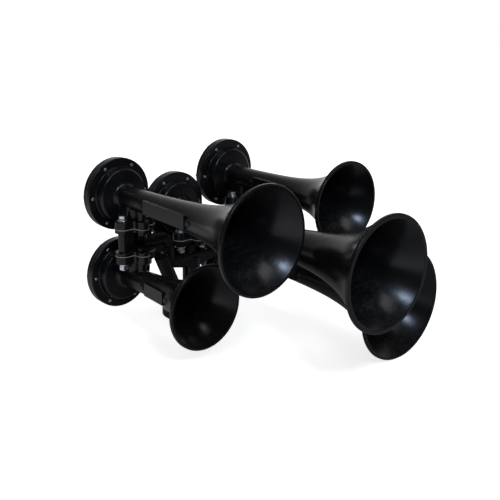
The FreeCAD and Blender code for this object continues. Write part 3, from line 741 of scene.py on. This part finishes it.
white = (1.0, 1.0, 1.0, 1.0)
stage = {
    "floorSize": 9.0, "floorColour": (0.8, 0.8, 0.8), "floorDark": (0.0, 0.0, 0.0),
    # painted shade in reflections: a darker floor grey used only for glossy rays
    "floorPaintedShadeInGloss": (0.3, 0.3, 0.31), "floorCloud": (3.0, 3.0, 0.5), "floorTone": (0.97, 1.0),
    "floorRoughness": 0.9, "floorSpecular": 0.1, "floorGlow": (0.55, 1.5, 0.73, 1.0),
    # painted reflection: a floor glow that only glossy rays see, brighter behind and to the left
    "paintedGlossGlowBehind": (0.4, 1.2, 0.03, 0.9), "paintedGlossGlowLeft": (0.08, 0.4, 0.03, 0.57),
    "paintedGlossGlowFade": (0.2, 0.75, 1.0, 0.35), "roomLight": 0.5, "backdropGlow": (0.24, 0.95, 0.05, 0.88),
    "overheadGlow": (0.35, 0.8, 1.0, 0.3),
    "behind": (0.65, 0.76, 0.0), "left": (-1.0, 0.0, 0.0), "far": (0.0, 1.0, 0.0),
}
softboxes = {
    "window": {"place": (-0.71, -1.70, 1.58), "aim": (0.0, -0.17, 0.17), "size": (0.3, 0.34), "power": 17.0,
               "colour": (0.62, 0.76, 1.0)},
    "overhead": {"place": (0.12, -0.88, 2.04), "aim": (0.0, -0.17, 0.17), "size": (1.1, 0.8), "power": 7.0,
                 "colour": (1.0, 1.0, 1.0)},
}
cameraPlace = {
    "azimuth": -43.13, "elevation": 18.01, "roll": 0.7176, "distance": 1.7115,
    "target": (-0.00102, -0.16582, 0.16756), "lens": 69.13, "sensor": 36.0, "near": 0.05, "far": 50.0,
}


def alongNode(tree, source, direction):
    node = addNode(tree, "ShaderNodeVectorMath", operation="DOT_PRODUCT")
    tree.links.new(source, node.inputs[0])
    node.inputs[1].default_value = direction
    return node.outputs["Value"]


def buildFloor():
    bpy.ops.object.select_all(action="DESELECT")
    bpy.ops.mesh.primitive_plane_add(size=stage["floorSize"], location=(0, 0, 0))
    floor = bpy.context.object
    floor.name = "floor"
    material, tree, shader = newMaterial("paperFloor")
    place = addNode(tree, "ShaderNodeTexCoord").outputs["Object"]
    cloud = noiseNode(tree, place, *stage["floorCloud"])
    tone = rampNode(tree, cloud, (*noiseMiddle, *stage["floorTone"]))
    grey = mixColour(tree, tone, stage["floorDark"], stage["floorColour"])
    light = addNode(tree, "ShaderNodeLightPath")
    # painted shade in reflections: the floor turns darker grey where glossy rays see it
    grey = mixColour(tree, light.outputs["Is Glossy Ray"], grey, stage["floorPaintedShadeInGloss"])
    tree.links.new(grey, shader.inputs["Base Color"])
    shader.inputs["Roughness"].default_value = stage["floorRoughness"]
    shader.inputs["Specular IOR Level"].default_value = stage["floorSpecular"]
    seen = mathNode(tree, "MAXIMUM", light.outputs["Is Camera Ray"], light.outputs["Is Transmission Ray"])
    distance = addNode(tree, "ShaderNodeVectorMath", operation="LENGTH")
    tree.links.new(place, distance.inputs[0])
    glow = mathNode(tree, "MULTIPLY", seen, rampNode(tree, distance.outputs["Value"], stage["floorGlow"]))
    # painted reflection: the floor glows in glossy rays only, brighter behind and to the left, though it is
    # no lamp
    behind = rampNode(tree, alongNode(tree, place, stage["behind"]), stage["paintedGlossGlowBehind"])
    left = rampNode(tree, alongNode(tree, place, stage["left"]), stage["paintedGlossGlowLeft"])
    fade = rampNode(tree, alongNode(tree, place, stage["far"]), stage["paintedGlossGlowFade"])
    paintedReflectionGlow = mathNode(tree, "MAXIMUM", behind, mathNode(tree, "MULTIPLY", left, fade))
    paintedReflectionGlow = mathNode(tree, "MULTIPLY", light.outputs["Is Glossy Ray"], paintedReflectionGlow)
    shader.inputs["Emission Color"].default_value = white
    tree.links.new(mathNode(tree, "ADD", glow, paintedReflectionGlow), shader.inputs["Emission Strength"])
    floor.data.materials.append(material)


def buildRoom():
    world = bpy.data.worlds.new("whiteRoom")
    bpy.context.scene.world = world
    world.use_nodes = True
    tree = world.node_tree
    background = tree.nodes["Background"]
    background.inputs["Color"].default_value = white
    light = addNode(tree, "ShaderNodeLightPath")
    seen = mathNode(tree, "MAXIMUM", light.outputs["Is Camera Ray"], light.outputs["Is Transmission Ray"])
    parts = addNode(tree, "ShaderNodeSeparateXYZ")
    direction = addNode(tree, "ShaderNodeTexCoord").outputs["Generated"]
    tree.links.new(direction, parts.inputs[0])
    backdrop = rampNode(tree, alongNode(tree, direction, stage["behind"]), stage["backdropGlow"])
    overhead = rampNode(tree, parts.outputs["Z"], stage["overheadGlow"])
    gloss = mathNode(tree, "MULTIPLY", backdrop, overhead)
    gloss = mathNode(tree, "MULTIPLY", gloss, light.outputs["Is Glossy Ray"])
    soft = mathNode(tree, "MULTIPLY", light.outputs["Is Diffuse Ray"], stage["roomLight"])
    strength = mathNode(tree, "MAXIMUM", mathNode(tree, "MAXIMUM", seen, gloss), soft)
    tree.links.new(strength, background.inputs["Strength"])


def addSoftbox(name, look):
    light = bpy.data.lights.new(name, "AREA")
    light.shape = "RECTANGLE"
    light.size, light.size_y = look["size"]
    light.energy = look["power"]
    light.color = look["colour"]
    box = bpy.data.objects.new(name, light)
    bpy.context.scene.collection.objects.link(box)
    box.location = look["place"]
    toward = Vector(look["aim"]) - Vector(look["place"])
    box.rotation_euler = toward.to_track_quat("-Z", "Y").to_euler()


def placeCamera():
    turn = math.radians(cameraPlace["azimuth"])
    lift = math.radians(cameraPlace["elevation"])
    roll = math.radians(cameraPlace["roll"])
    back = Vector((math.sin(turn) * math.cos(lift), -math.cos(turn) * math.cos(lift), math.sin(lift)))
    right = Vector((math.cos(turn), math.sin(turn), 0))
    up = back.cross(right)
    across = right * math.cos(roll) + up * math.sin(roll)
    upright = up * math.cos(roll) - right * math.sin(roll)
    place = Vector(cameraPlace["target"]) + back * cameraPlace["distance"]
    lens = bpy.data.cameras.new("studioCamera")
    lens.lens = cameraPlace["lens"]
    lens.sensor_width = cameraPlace["sensor"]
    lens.clip_start = cameraPlace["near"]
    lens.clip_end = cameraPlace["far"]
    camera = bpy.data.objects.new("studioCamera", lens)
    bpy.context.scene.collection.objects.link(camera)
    camera.matrix_world = Matrix((
        (across.x, upright.x, back.x, place.x),
        (across.y, upright.y, back.y, place.y),
        (across.z, upright.z, back.z, place.z),
        (0, 0, 0, 1)))
    bpy.context.scene.camera = camera


buildFloor()
buildRoom()
for name, look in softboxes.items():
    addSoftbox(name, look)
placeCamera()
bpy.context.scene.view_settings.view_transform = "Standard"
print("stage set")
